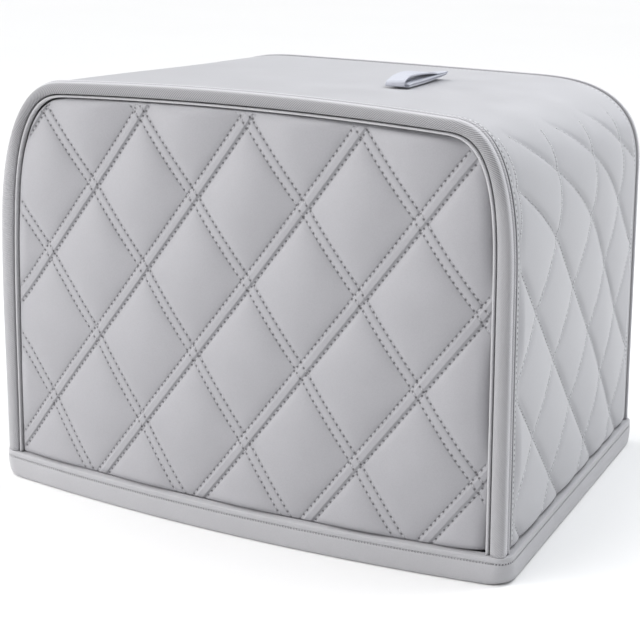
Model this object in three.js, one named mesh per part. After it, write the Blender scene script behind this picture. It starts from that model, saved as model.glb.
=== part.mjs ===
// A fitted, quilted cloth cover for a two-slice toaster: an open-bottomed box of soft padded cloth that
// stands on its hem. Millimetres, +Z up, origin on the floor in the middle of the hem, front towards -Y.
//
// Every panel is drawn flat first, in outline coordinates: across (p, left to right) and up (q, from the
// floor). place() then bends that flat place into the cover's real, slightly uneven shape.

import * as THREE from 'three';

const { lerp, clamp, smoothstep, degToRad } = THREE.MathUtils;

// Driving dimensions of the whole cover
const WIDTH = 272; // side to side, above the flare
const DEPTH = 212; // front face to back face
const HEIGHT = 216; // floor to the top's edges
const FLARE = { left: 10, right: 6.5 }; // how much further each side stands out at the floor
const LEFT_BULGE = 4.2; // the left wall's soft belly
const BULGE_RISE = 1.4; // above 1 puts the belly higher than the wall's middle
const CROWN_POWER = 6; // the crown lifts only the top of each face

// Cloth, seams and trims
const CLOTH = 3; // padded cloth, through the thickness
const GAP = 0.3; // between pieces that are sewn together
const SKIRT = 14.4; // height of the band round the hem
const CUT = SKIRT + GAP; // where panels, gusset and trims stop above that band
const SEAM_DEPTH = 5; // the gusset starts this far behind each face
const PANEL_INSET = 7.9; // the quilted panels stop this far from the top edge
const SIDE_SPREAD = 1.25; // the trims lie wider than that down the sides

// The two faces: where they stand, their rounded top corners, and how soft cloth lets them bow and sag
const FRONT = {
  y: -DEPTH / 2, out: -1, cornerRun: 27, cornerDrop: 72, power: 3,
  crown: 4.5, drop: 0, bowLow: 11, bowHigh: -5.5,
};
const BACK = {
  y: DEPTH / 2, out: 1, cornerRun: 62, cornerDrop: 50, power: 2.8,
  crown: 1, drop: 5, bowLow: 4, bowHigh: -3,
};

// Quilting: half the width and half the height of a diamond, one crossing of its seams, and its relief
const FACE_QUILT = { run: 29.8, rise: 38.5, at: [4, 129.5], valley: 1.5, puff: 1.7 };
const SIDE_QUILT = { run: 29, rise: 31, at: [-11, 125], valley: 1, puff: 1.2 };
const QUILT_STEPS = 3; // mesh cells along half a diamond
const EDGE_FADE = 8; // the relief dies out this near a seam
const EDGE_DIP = 0.5; // how deep the seam holds the cloth

// Steps of the meshes
const SIDE_STEPS = 5;
const CORNER_STEPS = 9;
const TOP_STEPS = 8;
const INNER_COLUMNS = 6;
const GUSSET_LAST_ROW = 9; // quilt rows above the crossing, up to the shoulder
const GUSSET_TOP_STEPS = 8;
const PROFILE_STEPS = 48;

// Trim sections: distance in from the outline's edge, and depth behind the face
const BINDING_SECTION = [
  [4.9, -0.5], [3.9, -1.5], [1.8, -1.7], [0.1, -1.1], [-0.9, 0.4],
  [-1.1, 2.6], [-0.7, 4.6], [2.9, 4.6], [4.9, 2.6],
];
const PIPING_SECTION = [[5.3, -0.3], [5.8, -1.1], [6.8, -1.1], [7.3, -0.3], [7.2, 2], [5.4, 2]];

// Hem band section: distance out from the wall, height, and corner radius of the ring at that height
const HEM_SECTION = [
  [-3, 1, 9], [-2.4, 0, 12], [0.8, 0, 12], [1.9, 0.8, 10], [2.6, 2.6, 8],
  [2.6, 7, 6], [2.2, 12.2, 5], [1.8, 13.8, 5], [1, SKIRT, 5], [-3, SKIRT, 5],
];
const HEM_FACE_STEPS = 10;
const HEM_SIDE_STEPS = 6;
const HEM_CORNER_STEPS = 4;

// Pull loop: a ribbon folded in two, sewn down at its front end
const LOOP = {
  at: [46, -29.5, 217.9], turn: 1.7, slope: -2.2, width: 10.5, length: 60, ribbon: 1.2,
  tipLift: 2.4, rise: 5.4, sewn: 0.1, tip: 0.97, steps: 18,
};

// The hem stands out further to the left and in front than to the right and behind
const SHIFT = { x: (FLARE.left - FLARE.right) / 2, y: (FRONT.bowLow - BACK.bowLow) / 2 };

const GREY = { face: 0xb9b9c0, gusset: 0xc9cad1, trim: 0xb4b4bb, hem: 0xaeafb6, ribbon: 0xd5d9e6 };

function cloth(colour, roughness) {
  return new THREE.MeshStandardMaterial({ color: colour, roughness, metalness: 0 });
}

// One closed body from points and triangles, turned so that its faces point out
function solid(name, points, triangles, material) {
  let volume = 0;
  for (const [a, b, c] of triangles) {
    volume += points[a].dot(points[b].clone().cross(points[c]));
  }
  const turned = volume < 0 ? triangles.map(([a, b, c]) => [a, c, b]) : triangles;
  const geometry = new THREE.BufferGeometry();
  geometry.setAttribute('position', new THREE.Float32BufferAttribute(points.flatMap((p) => p.toArray()), 3));
  geometry.setIndex(turned.flat());
  geometry.computeVertexNormals();
  const mesh = new THREE.Mesh(geometry, material);
  mesh.name = name;
  return mesh;
}

// Half the outline's width at a height, with its edge moved in
function halfWidth(face, inset, q) {
  const side = inset > 0 ? inset * SIDE_SPREAD : inset;
  const cornerStart = HEIGHT - face.cornerDrop;
  const half = WIDTH / 2 - side;
  if (q <= cornerStart) {
    return half;
  }
  const t = clamp((q - cornerStart) / (HEIGHT - inset - cornerStart), 0, 1);
  return half - face.cornerRun * (1 - (1 - t ** face.power) ** (1 / face.power));
}

// Stations round the outline from the left foot over the top to the right foot, as [across, up]
function outline(face, inset) {
  const cornerStart = HEIGHT - face.cornerDrop;
  const right = [];
  for (let i = 0; i < SIDE_STEPS; i++) {
    right.push([halfWidth(face, inset, 0), lerp(CUT, cornerStart, i / SIDE_STEPS)]);
  }
  for (let i = 0; i < CORNER_STEPS; i++) {
    const up = Math.sin((i / CORNER_STEPS) * (Math.PI / 2)) ** (2 / face.power);
    const q = lerp(cornerStart, HEIGHT - inset, up);
    right.push([halfWidth(face, inset, q), q]);
  }
  const topHalf = halfWidth(face, inset, HEIGHT - inset);
  for (let i = 0; i < TOP_STEPS / 2; i++) {
    right.push([lerp(topHalf, 0, i / (TOP_STEPS / 2)), HEIGHT - inset]);
  }
  const left = right.map(([p, q]) => [-p, q]);
  return [...left, [0, HEIGHT - inset], ...right.reverse()];
}

// A flat place on a face, bent to where the cloth hangs; depth is measured inwards from the face
function place(face, p, q, depth) {
  const up = q / HEIGHT;
  const across = clamp(Math.abs((2 * p) / WIDTH), 0, 1);
  const middle = 1 - across ** 2;
  const flare = p < 0 ? FLARE.left : FLARE.right;
  const belly = p < 0 ? LEFT_BULGE * Math.sin(Math.PI * clamp(up, 0, 1) ** BULGE_RISE) * across ** 4 : 0;
  const bow = lerp(face.bowLow, face.bowHigh, up) * middle;
  return new THREE.Vector3(
    p * (1 + (flare / (WIDTH / 2)) * (1 - up)) - belly,
    face.y + face.out * (bow - depth),
    q + face.crown * middle * up ** CROWN_POWER - (face.drop * (q - CUT)) / (HEIGHT - CUT),
  );
}

// Height of the quilted relief, from the valley of a seam to the top of a puffed diamond
function quilt(pattern, across, up, toEdge) {
  const a = (across - pattern.at[0]) / pattern.run;
  const b = (up - pattern.at[1]) / pattern.rise;
  const rising = Math.abs(Math.sin((Math.PI / 2) * (a - b)));
  const falling = Math.abs(Math.sin((Math.PI / 2) * (a + b)));
  const puffed = (pattern.valley + pattern.puff) * Math.sqrt(rising * falling) - pattern.valley;
  return lerp(-EDGE_DIP, puffed, smoothstep(toEdge, 0, EDGE_FADE));
}

// Grid lines that fall on the quilt's crossings, between two edges, with the edges themselves
function quiltLines(low, high, crossing, half) {
  const step = half / QUILT_STEPS;
  const lines = [low];
  for (let k = Math.ceil((low - crossing) / step); crossing + k * step < high - step / 4; k++) {
    if (crossing + k * step > low + step / 4) {
      lines.push(crossing + k * step);
    }
  }
  return [...lines, high];
}

// Closes the strip between two edges of a sheet, always along the shorter diagonal
function zip(points, triangles, a, b) {
  let i = 0;
  let j = 0;
  while (i < a.length - 1 || j < b.length - 1) {
    const canA = i < a.length - 1;
    const canB = j < b.length - 1;
    const costA = canA ? points[a[i + 1]].distanceTo(points[b[j]]) : Infinity;
    const costB = canB ? points[a[i]].distanceTo(points[b[j + 1]]) : Infinity;
    if (costA <= costB) {
      triangles.push([a[i], b[j], a[i + 1]]);
      i++;
    } else {
      triangles.push([a[i], b[j], b[j + 1]]);
      j++;
    }
  }
}

// A sheet of cloth from its outer face, rows of { point, lift }, and a coarser inner face
function sheet(name, outer, inner, material) {
  const points = [];
  const triangles = [];
  const index = (rows) => rows.map((row) => row.map(({ point }) => points.push(point) - 1));
  const o = index(outer);
  const n = index(inner);
  for (let r = 0; r < outer.length - 1; r++) {
    for (let c = 0; c < outer[r].length - 1; c++) {
      const [a, b, d, e] = [o[r][c], o[r][c + 1], o[r + 1][c], o[r + 1][c + 1]];
      const down = outer[r][c].lift + outer[r + 1][c + 1].lift;
      const up = outer[r][c + 1].lift + outer[r + 1][c].lift;
      triangles.push(...(down < up ? [[a, b, e], [a, e, d]] : [[a, b, d], [b, e, d]]));
    }
  }
  for (let r = 0; r < inner.length - 1; r++) {
    for (let c = 0; c < inner[r].length - 1; c++) {
      triangles.push([n[r][c], n[r + 1][c + 1], n[r][c + 1]], [n[r][c], n[r + 1][c], n[r + 1][c + 1]]);
    }
  }
  const last = (rows) => rows.map((row) => row.at(-1));
  const first = (rows) => rows.map((row) => row[0]);
  zip(points, triangles, o[0], n[0]);
  zip(points, triangles, n.at(-1), o.at(-1));
  zip(points, triangles, first(n), first(o));
  zip(points, triangles, last(o), last(n));
  return solid(name, points, triangles, material);
}

// A quilted panel, front or back
function panel(name, face) {
  const half = halfWidth(face, PANEL_INSET, 0);
  const top = HEIGHT - PANEL_INSET;
  const cornerStart = HEIGHT - face.cornerDrop;
  const cornerRows = [0.84, 0.93, 0.975].map((t) => lerp(cornerStart, top, t));
  const rows = quiltLines(CUT, top, FACE_QUILT.at[1], FACE_QUILT.rise)
    .filter((q) => q === top || q < cornerRows[0] - 2)
    .concat(cornerRows)
    .sort((a, b) => a - b);
  const columns = quiltLines(-half, half, FACE_QUILT.at[0], FACE_QUILT.run);
  const outer = rows.map((q) => columns.map((column) => {
    const width = halfWidth(face, PANEL_INSET, q);
    const p = (column / half) * width;
    const toEdge = Math.min(width - Math.abs(p), top - q, q - CUT);
    const lift = quilt(FACE_QUILT, p, q, toEdge);
    return { point: place(face, p, q, -lift), lift };
  }));
  const inner = rows.map((q) => Array.from({ length: INNER_COLUMNS + 1 }, (_, i) => {
    const p = lerp(-1, 1, i / INNER_COLUMNS) * halfWidth(face, PANEL_INSET, q);
    return { point: place(face, p, q, CLOTH) };
  }));
  return sheet(name, outer, inner, cloth(GREY.face, 0.55));
}

// The right half of the cover's cross-section at a depth, from the floor to the middle of the top, with
// the length along the cloth and the way that faces out
function profile(depthShare) {
  const mixed = {
    cornerRun: lerp(FRONT.cornerRun, BACK.cornerRun, depthShare),
    cornerDrop: lerp(FRONT.cornerDrop, BACK.cornerDrop, depthShare),
    power: lerp(FRONT.power, BACK.power, depthShare),
  };
  const cornerStart = HEIGHT - mixed.cornerDrop;
  const line = [[WIDTH / 2, 0]];
  for (let i = 0; i <= PROFILE_STEPS; i++) {
    const angle = (i / PROFILE_STEPS) * (Math.PI / 2);
    const along = Math.cos(angle) ** (2 / mixed.power);
    const up = Math.sin(angle) ** (2 / mixed.power);
    line.push([WIDTH / 2 - mixed.cornerRun * (1 - along), cornerStart + mixed.cornerDrop * up]);
  }
  line.push([0, HEIGHT]);
  const lengths = [0];
  for (let i = 1; i < line.length; i++) {
    const [p0, q0] = line[i - 1];
    const [p1, q1] = line[i];
    lengths.push(lengths[i - 1] + Math.hypot(p1 - p0, q1 - q0));
  }
  const at = (s) => {
    let i = 1;
    while (i < lengths.length - 1 && lengths[i] < s) {
      i++;
    }
    const t = (s - lengths[i - 1]) / (lengths[i] - lengths[i - 1]);
    return [lerp(line[i - 1][0], line[i][0], t), lerp(line[i - 1][1], line[i][1], t)];
  };
  return { total: lengths.at(-1), at };
}

// The strip that runs up the left side, over the top and down the right side
function gusset() {
  const nearest = DEPTH / 2 - SEAM_DEPTH;
  const sewn = quiltLines(CUT, SIDE_QUILT.at[1] + (GUSSET_LAST_ROW * SIDE_QUILT.rise) / QUILT_STEPS,
    SIDE_QUILT.at[1], SIDE_QUILT.rise);
  const NORMAL_STEP = 6; // length of cloth over which the facing is measured
  const facePoint = (share, s, side, lift) => {
    const section = profile(share);
    const [p, q] = section.at(s);
    const [p0, q0] = section.at(Math.max(0, s - NORMAL_STEP));
    const [p1, q1] = section.at(Math.min(section.total, s + NORMAL_STEP));
    const normal = new THREE.Vector2(q1 - q0, p0 - p1).normalize();
    const shown = lift(normal.y, s, section);
    const flat = [side * (p + normal.x * shown), q + normal.y * shown];
    const front = place(FRONT, ...flat, SEAM_DEPTH);
    const back = place(BACK, ...flat, SEAM_DEPTH);
    return { point: front.lerp(back, share), lift: shown };
  };
  const rowsOf = (share) => {
    const { total } = profile(share);
    const over = [];
    for (let i = 1; i < GUSSET_TOP_STEPS; i++) {
      over.push(lerp(sewn.at(-1), total, i / GUSSET_TOP_STEPS));
    }
    const up = [...sewn, ...over].map((s) => [s, 1]);
    return [...up.map(([s]) => [s, -1]), [total, -1], ...up.reverse()];
  };
  const grid = (ys, lift) => {
    const columns = ys.map((y) => {
      const share = (y + nearest) / (2 * nearest);
      return rowsOf(share).map(([s, side]) => facePoint(share, s, side, lift(y)));
    });
    return columns[0].map((_, r) => columns.map((column) => column[r]));
  };
  const relief = (y) => (facesUp, s) => {
    const toEdge = Math.min(nearest - Math.abs(y), s - CUT);
    const fade = 1 - smoothstep(facesUp, 0.55, 0.95);
    return fade * quilt(SIDE_QUILT, y, s, toEdge);
  };
  const outer = grid(quiltLines(-nearest, nearest, SIDE_QUILT.at[0], SIDE_QUILT.run), relief);
  const innerYs = [-1, -0.5, 0, 0.5, 1].map((t) => t * nearest);
  const inner = grid(innerYs, () => () => -CLOTH);
  return sheet('gusset', outer, inner, cloth(GREY.gusset, 0.6));
}

// A trim swept round a face's outline, with a closed convex section and two flat ends
function trim(name, face, section, material) {
  const lines = section.map(([inset, depth]) => outline(face, inset).map(([p, q]) => place(face, p, q, depth)));
  const stations = lines[0].length;
  const sides = section.length;
  const points = [];
  for (let i = 0; i < stations; i++) {
    points.push(...lines.map((line) => line[i]));
  }
  const triangles = [];
  for (let i = 0; i < stations - 1; i++) {
    for (let k = 0; k < sides; k++) {
      const a = i * sides + k;
      const b = i * sides + ((k + 1) % sides);
      triangles.push([a, b, b + sides], [a, b + sides, a + sides]);
    }
  }
  const end = (stations - 1) * sides;
  for (let k = 1; k < sides - 1; k++) {
    triangles.push([0, k + 1, k], [end, end + k, end + k + 1]);
  }
  return solid(name, points, triangles, material);
}

// Stations round the floor plan, as a place on the wall and the way out, for one corner radius
function plan(radius) {
  const halfX = WIDTH / 2 + (FLARE.left + FLARE.right) / 2;
  const halfY = DEPTH / 2;
  const stations = [];
  const run = (from, to, normal, steps) => {
    for (let i = 0; i < steps; i++) {
      stations.push([lerp(from[0], to[0], i / steps), lerp(from[1], to[1], i / steps), ...normal]);
    }
  };
  const turn = (x, y, start) => {
    for (let i = 0; i < HEM_CORNER_STEPS; i++) {
      const angle = degToRad(start + (90 * i) / HEM_CORNER_STEPS);
      const [c, s] = [Math.cos(angle), Math.sin(angle)];
      stations.push([x + radius * c, y + radius * s, c, s]);
    }
  };
  const [x, y] = [halfX - radius, halfY - radius];
  run([-x, -halfY], [x, -halfY], [0, -1], HEM_FACE_STEPS);
  turn(x, -y, -90);
  run([halfX, -y], [halfX, y], [1, 0], HEM_SIDE_STEPS);
  turn(x, y, 0);
  run([x, halfY], [-x, halfY], [0, 1], HEM_FACE_STEPS);
  turn(-x, y, 90);
  run([-halfX, y], [-halfX, -y], [-1, 0], HEM_SIDE_STEPS);
  turn(-x, -y, 180);
  return stations;
}

// The band round the hem: one ring, flat underneath, that the cover stands on
function hemBand() {
  const halfX = WIDTH / 2 + (FLARE.left + FLARE.right) / 2;
  const points = HEM_SECTION.flatMap(([out, z, radius]) => plan(radius).map(([x, y, nx, ny]) => {
    const middle = 1 - (x / halfX) ** 2;
    const bow = (y < 0 ? -FRONT.bowLow : BACK.bowLow) * middle;
    const share = clamp(Math.abs(y) / (DEPTH / 4), 0, 1);
    return new THREE.Vector3(x - SHIFT.x + out * nx, y + bow * share + out * ny, z);
  }));
  const around = plan(1).length;
  const rings = HEM_SECTION.length;
  const triangles = [];
  for (let r = 0; r < rings; r++) {
    for (let i = 0; i < around; i++) {
      const next = (i + 1) % around;
      const [a, b] = [r * around + i, r * around + next];
      const [c, d] = [((r + 1) % rings) * around + i, ((r + 1) % rings) * around + next];
      triangles.push([a, b, d], [a, d, c]);
    }
  }
  return solid('hem_band', points, triangles, cloth(GREY.hem, 0.65));
}

// The ribbon loop, drawn as its side view with the opening through it, then given its width
function pullLoop() {
  const under = (t) => LOOP.tipLift * t ** 1.5;
  const arch = (t) => LOOP.rise * Math.sin(Math.PI * t ** 0.6) ** 0.8;
  const over = (t) => under(t) + 2 * LOOP.ribbon + arch(clamp(t, 0, 1));
  const along = (from, to, height) => Array.from({ length: LOOP.steps + 1 }, (_, i) => {
    const t = lerp(from, to, i / LOOP.steps);
    return new THREE.Vector2(t * LOOP.length, height(t));
  });
  const shape = new THREE.Shape([...along(0, 1, under), ...along(1, 0, over)]);
  const low = along(LOOP.sewn, LOOP.tip, (t) => under(t) + LOOP.ribbon);
  const high = along(LOOP.tip, LOOP.sewn, (t) => over(t) - LOOP.ribbon);
  shape.holes.push(new THREE.Path([...low, ...high]));
  const geometry = new THREE.ExtrudeGeometry(shape, { depth: LOOP.width, bevelEnabled: false });
  geometry.translate(0, 0, -LOOP.width / 2);
  const mesh = new THREE.Mesh(geometry, cloth(GREY.ribbon, 0.5));
  mesh.name = 'pull_loop';
  mesh.rotation.set(Math.PI / 2, Math.PI / 2, 0);
  const tilt = new THREE.Group();
  tilt.add(mesh);
  tilt.position.set(...LOOP.at);
  tilt.rotation.set(degToRad(LOOP.slope), 0, degToRad(LOOP.turn));
  return tilt;
}

const cover = new THREE.Group();
cover.add(
  panel('front_panel', FRONT),
  panel('back_panel', BACK),
  gusset(),
  trim('front_binding', FRONT, BINDING_SECTION, cloth(GREY.trim, 0.8)),
  trim('back_binding', BACK, BINDING_SECTION, cloth(GREY.trim, 0.8)),
  trim('front_piping', FRONT, PIPING_SECTION, cloth(GREY.trim, 0.6)),
  trim('back_piping', BACK, PIPING_SECTION, cloth(GREY.trim, 0.6)),
  hemBand(),
  pullLoop(),
);

// The origin is the middle of the hem, so the walls move off it by as much as the hem is uneven
cover.position.set(SHIFT.x, SHIFT.y, 0);

export default cover;
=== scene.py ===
"""The looks of a fitted, quilted toaster cover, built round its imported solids.

Shapes are worked out in millimetres and turned into metres as each mesh is made. Every panel is drawn flat
first, as a place across (p, from the middle) and up (q, from the floor), and then bent to where the cloth
stands."""

import math

import bpy
import numpy as np
from mathutils import Matrix, Vector


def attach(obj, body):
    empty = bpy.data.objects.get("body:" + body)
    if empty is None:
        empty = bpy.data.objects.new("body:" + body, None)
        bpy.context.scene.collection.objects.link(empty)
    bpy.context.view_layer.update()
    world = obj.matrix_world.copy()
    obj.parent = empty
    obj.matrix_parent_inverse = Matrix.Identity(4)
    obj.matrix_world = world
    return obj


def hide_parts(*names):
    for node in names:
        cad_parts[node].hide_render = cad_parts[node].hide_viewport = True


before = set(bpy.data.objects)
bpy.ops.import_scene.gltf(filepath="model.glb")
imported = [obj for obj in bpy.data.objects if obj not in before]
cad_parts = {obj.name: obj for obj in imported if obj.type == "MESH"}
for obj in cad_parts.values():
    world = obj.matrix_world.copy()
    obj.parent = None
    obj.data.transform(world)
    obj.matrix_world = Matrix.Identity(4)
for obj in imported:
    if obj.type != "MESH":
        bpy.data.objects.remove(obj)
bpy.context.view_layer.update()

MM = 0.001  # metres in a millimetre

# The cover's own dimensions, as in its solids
WIDTH = 272.0
DEPTH = 212.0
HEIGHT = 216.0
FLARE = {"left": 10.0, "right": 6.5}  # how much further out each side stands at the foot
HALF_FOOT = WIDTH / 2 + (FLARE["left"] + FLARE["right"]) / 2
LEFT_BULGE = 4.2
BULGE_RISE = 1.4
CROWN_POWER = 6
CLOTH = 3.0
CUT = 14.7  # foot of the trims
SEAM_DEPTH = 5.0
SIDE_SPREAD = 1.25  # an inset is this much wider at the sides than over the top
EDGE_BAND = 5.5  # over this outermost inset the corners turn into the rounder edge_ ones

# A face's plane, the rounding of its upper corners, and how it crowns, drops and bows from foot to top
FRONT = {
    "y": -DEPTH / 2, "out": -1, "corner_run": 27.0, "corner_drop": 72.0, "corner_power": 3.0,
    "crown": 4.5, "drop": 0.0, "bow_low": 11.0, "bow_high": -5.5,
    "edge_run": 32.5, "edge_drop": 76.0, "edge_power": 2.75,
}
BACK = {
    "y": DEPTH / 2, "out": 1, "corner_run": 62.0, "corner_drop": 50.0, "corner_power": 2.8,
    "crown": 1.0, "drop": 5.0, "bow_low": 4.0, "bow_high": -3.0,
    "edge_run": 62.0, "edge_drop": 50.0, "edge_power": 2.8,
}
# From the middle of the walls to the middle of the floor plan, which is the origin
SHIFT = np.array([(FLARE["left"] - FLARE["right"]) / 2, (FRONT["bow_low"] - BACK["bow_low"]) / 2, 0.0])

# Quilting: half a diamond's width and height, one crossing, relief, and mesh cells along half a diamond
FACE_QUILT = {"run": 29.8, "rise": 38.5, "at": (4.0, 129.5), "valley": 1.6, "puff": 2.2, "cells": 40}
SIDE_QUILT = {"run": 29.0, "rise": 31.0, "at": (-11.0, 125.0), "valley": 1.1, "puff": 1.5, "cells": 26}
STITCH = 3.0  # from one needle hole to the next
RISING_HALF = 2.85  # half the distance between the two rows of a seam that rises to the right
FALLING_HALF = 2.3  # and of one that falls to the right
RISING_RIDGE = 0.9  # how high the cloth stands between the two rows
FALLING_RIDGE = 0.5
RISING_FLAT = 5  # how flat the cloth is there
FALLING_FLAT = 3
RISING_SWELL = 1.9  # how quickly a diamond swells next to a seam
FALLING_SWELL = 2.6
FALLING_HELD = 0.3  # share of the swell that falling seams leave
FACE_RIM = 0.24  # share of a diamond's height that it gains close to the seam
SIDE_RIM = 0.45
RIM_SWELL = 14  # how quickly it gains that share


def lerp(a, b, t):
    return a + (b - a) * t


def smooth(value, low, high):
    """0 below low, 1 above high, and an even rise between them."""
    t = np.clip((value - low) / (high - low), 0, 1)
    return t * t * (3 - 2 * t)


def running_length(points):
    """Length along a line of points, from 0 at the first."""
    return np.concatenate([[0], np.cumsum(np.linalg.norm(np.diff(points, axis=0), axis=1))])


# Shape of the cover

def corner(face, inset):
    """Run, drop and power of the outline's upper corners. They are rounder at the very edge."""
    share = min(max(1 - inset / EDGE_BAND, 0), 1)
    return [lerp(face["corner_" + key], face["edge_" + key], share) for key in ("run", "drop", "power")]


def half_width(face, inset, q):
    """Half the outline's width at a height, with its edge moved in."""
    side = inset * SIDE_SPREAD if inset > 0 else inset
    run, drop, power = corner(face, inset)
    corner_start = HEIGHT - drop
    t = np.clip((q - corner_start) / (HEIGHT - inset - corner_start), 0, 1)
    return WIDTH / 2 - side - run * (1 - (1 - t**power) ** (1 / power))


def place(face, p, q, depth):
    """Where a flat place on a face lies, in millimetres; depth is measured inwards."""
    p, q, depth = np.broadcast_arrays(p, q, depth)
    up = q / HEIGHT
    across = np.clip(np.abs(2 * p / WIDTH), 0, 1)
    middle = 1 - across**2
    flare = np.where(p < 0, FLARE["left"], FLARE["right"])
    swell = np.sin(math.pi * np.clip(up, 0, 1) ** BULGE_RISE) * across**4
    belly = np.where(p < 0, LEFT_BULGE * swell, 0)
    bow = lerp(face["bow_low"], face["bow_high"], up) * middle
    x = p * (1 + flare / (WIDTH / 2) * (1 - up)) - belly
    y = face["y"] + face["out"] * (bow - depth)
    z = q + face["crown"] * middle * up**CROWN_POWER - face["drop"] * (q - CUT) / (HEIGHT - CUT)
    return np.stack([x, y, z], -1) + SHIFT


def outline_stations(face, inset, side_steps, corner_steps, top_steps):
    """Stations round the outline, from the left foot over the top to the right foot."""
    _, drop, power = corner(face, inset)
    corner_start = HEIGHT - drop
    up = np.sin(np.arange(corner_steps) / corner_steps * math.pi / 2) ** (2 / power)
    q = np.concatenate([
        np.linspace(CUT, corner_start, side_steps, endpoint=False),
        lerp(corner_start, HEIGHT - inset, up),
    ])
    p = half_width(face, inset, q)
    top = np.linspace(half_width(face, inset, HEIGHT - inset), 0, top_steps, endpoint=False)
    p = np.concatenate([p, top])
    q = np.concatenate([q, np.full(top_steps, HEIGHT - inset)])
    return np.concatenate([-p, [0.0], p[::-1]]), np.concatenate([q, [HEIGHT - inset], q[::-1]])


FACE_SCALE = (130.0, 100.0)  # about half a face's width and height
DRIFT_MIDDLE = 115.0  # height of the face's middle
# How far the sewn seams stray from an even lattice, as the cloth is pulled down and to the left: how far to
# the right and how far up, for each way that the cloth gives
DRIFT = {
    "even": (0.36, -0.64),
    "across": (-1.43, 1.52),
    "up": (-3.46, 2.33),
    "up_squared": (-1.78, -3.54),
    "left": (7.81, 3.11),
    "right": (0.0, -1.15),
    "twist": (3.33, 2.19),
    "lower_left": (-3.0, 0.0),
}


def drift(p, q):
    """Where a lattice place is sewn on a face."""
    across = p / FACE_SCALE[0]
    up = (q - DRIFT_MIDDLE) / FACE_SCALE[1]
    left = np.clip(-across, 0, 1)
    right = np.clip(across, 0, 1)
    ways = {
        "even": 1.0, "across": across, "up": up, "up_squared": up**2, "left": left**2, "right": right**2,
        "twist": across * up, "lower_left": left * np.clip(-up, 0, 1),
    }
    aside, rise = (sum(DRIFT[key][axis] * way for key, way in ways.items()) for axis in (0, 1))
    return p + aside, q + rise


class Lattice:
    """The two families of diagonal seams, in lattice millimetres."""

    def __init__(self, quilt):
        self.run = quilt["run"]
        self.rise = quilt["rise"]
        self.at = quilt["at"]
        self.length = math.hypot(self.run, self.rise)
        self.spacing = 2 * self.run * self.rise / self.length  # between neighbouring seams of a family

    def to_seam(self, p, q, family):
        """Distance to the nearest seam; family is 1 for rising seams and -1 for falling ones."""
        level = (p - self.at[0]) / self.run - family * (q - self.at[1]) / self.rise
        return np.abs(level - 2 * np.round(level / 2)) * self.spacing / 2

    def along(self, p, q, family):
        """Length along the seam."""
        return ((p - self.at[0]) * self.run + family * (q - self.at[1]) * self.rise) / self.length

    def seam_place(self, seam, family, offset, along):
        """The place at a length along one seam, moved aside from its middle."""
        p = self.at[0] + self.spacing * self.length / self.rise * seam
        start = (p - self.at[0]) * self.run / self.length
        step = along - start
        return (
            p + (self.run * step + self.rise * offset) / self.length,
            self.at[1] + family * (self.rise * step - self.run * offset) / self.length,
        )


FACE_LATTICE = Lattice(FACE_QUILT)
SIDE_LATTICE = Lattice(SIDE_QUILT)


def seam_values(lattice, p, q):
    """Distances to the nearest seams and lengths along them, for the stitches in the material."""
    values = {}
    for key, family in (("rising", 1), ("falling", -1)):
        values[key] = lattice.to_seam(p, q, family)
        values[key + "_along"] = lattice.along(p, q, family)
    return values


def pillow(lattice, distance, half, swell, rim):
    """How far a diamond has risen at a distance from a seam whose rows lie half apart."""
    reach = lattice.spacing / 2 - half
    left = 1 - np.clip((distance - half) / reach, 0, 1)
    return 1 - lerp(left**swell, left**RIM_SWELL, rim)


# The gusset's seams lean to the front near the shoulder, and draw together towards the back
SHOULDER_LEAN = {"start": 150.0, "reach": 60.0, "scale": 37.0, "power": 1.6, "amount": 21.0}
BACK_LEAN = {"start": 20.0, "end": 80.0, "amount": 10.0}
INVERSE_STEPS = 6


def side_lattice_place(y, s):
    """Where a place on the gusset, at depth y and length s up the cloth, lies in the lattice."""
    over = np.clip(s - SHOULDER_LEAN["start"], 0, SHOULDER_LEAN["reach"]) / SHOULDER_LEAN["scale"]
    back = smooth(y, BACK_LEAN["start"], BACK_LEAN["end"])
    return y + SHOULDER_LEAN["amount"] * over ** SHOULDER_LEAN["power"] + BACK_LEAN["amount"] * back


def side_place(lattice_y, s):
    """The depth on the gusset that a lattice place comes to lie at."""
    y = lattice_y
    for _ in range(INVERSE_STEPS):
        y = y + lattice_y - side_lattice_place(y, s)
    return y


def side_distance(face, inset, p, q):
    """Distance from the outline's sides and corners, positive inside it."""
    slope = half_width(face, inset, q + 0.5) - half_width(face, inset, q - 0.5)
    return (half_width(face, inset, q) - np.abs(p)) / np.sqrt(1 + slope**2)


def edge_distance(face, inset, p, q):
    """Distance from the outline's sides and top, positive inside it."""
    return np.minimum(side_distance(face, inset, p, q), HEIGHT - inset - q)


PANEL_EDGE = 7.7  # inset of the panel's visible edge
FOOT = 14.55  # height of the lower edges of the panels and the gusset
FULLNESS = (0.62, 1.05)  # the relief's share at the lower left and at the upper right, as the cloth pulls
FULLNESS_RANGE = (-1.3, 0.7)
FULLNESS_MIDDLE = 110.0
ROLL_POWER = 2.2
SIDE_ROLL = 6.0  # width over which the panel rolls down into its seam
SIDE_SINK = 0.4  # how far it rolls down
TOP_ROLL = 5.0
TOP_SINK = 0.2
FOOT_ROLL = 4.0
FOOT_SINK = 1.3
RIGHT_BEND = 24.0  # width over which the right end of the panel also turns away
RIGHT_SINK = 3.2
RIGHT_START = 60.0  # the bend is whole from this far right of the middle


def rolled_down(height, sink, distance, width):
    """The cloth's height where it rolls down to an edge."""
    return lerp(height, -sink, (1 - np.clip(distance / width, 0, 1)) ** ROLL_POWER)


def right_bend(face, p, q):
    """How far the right end of the panel lies back."""
    to_side = side_distance(face, PANEL_EDGE, p, q)
    near = (1 - np.clip(to_side / RIGHT_BEND, 0, 1)) ** ROLL_POWER
    return RIGHT_SINK * smooth(p, 0, RIGHT_START) * near


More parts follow.
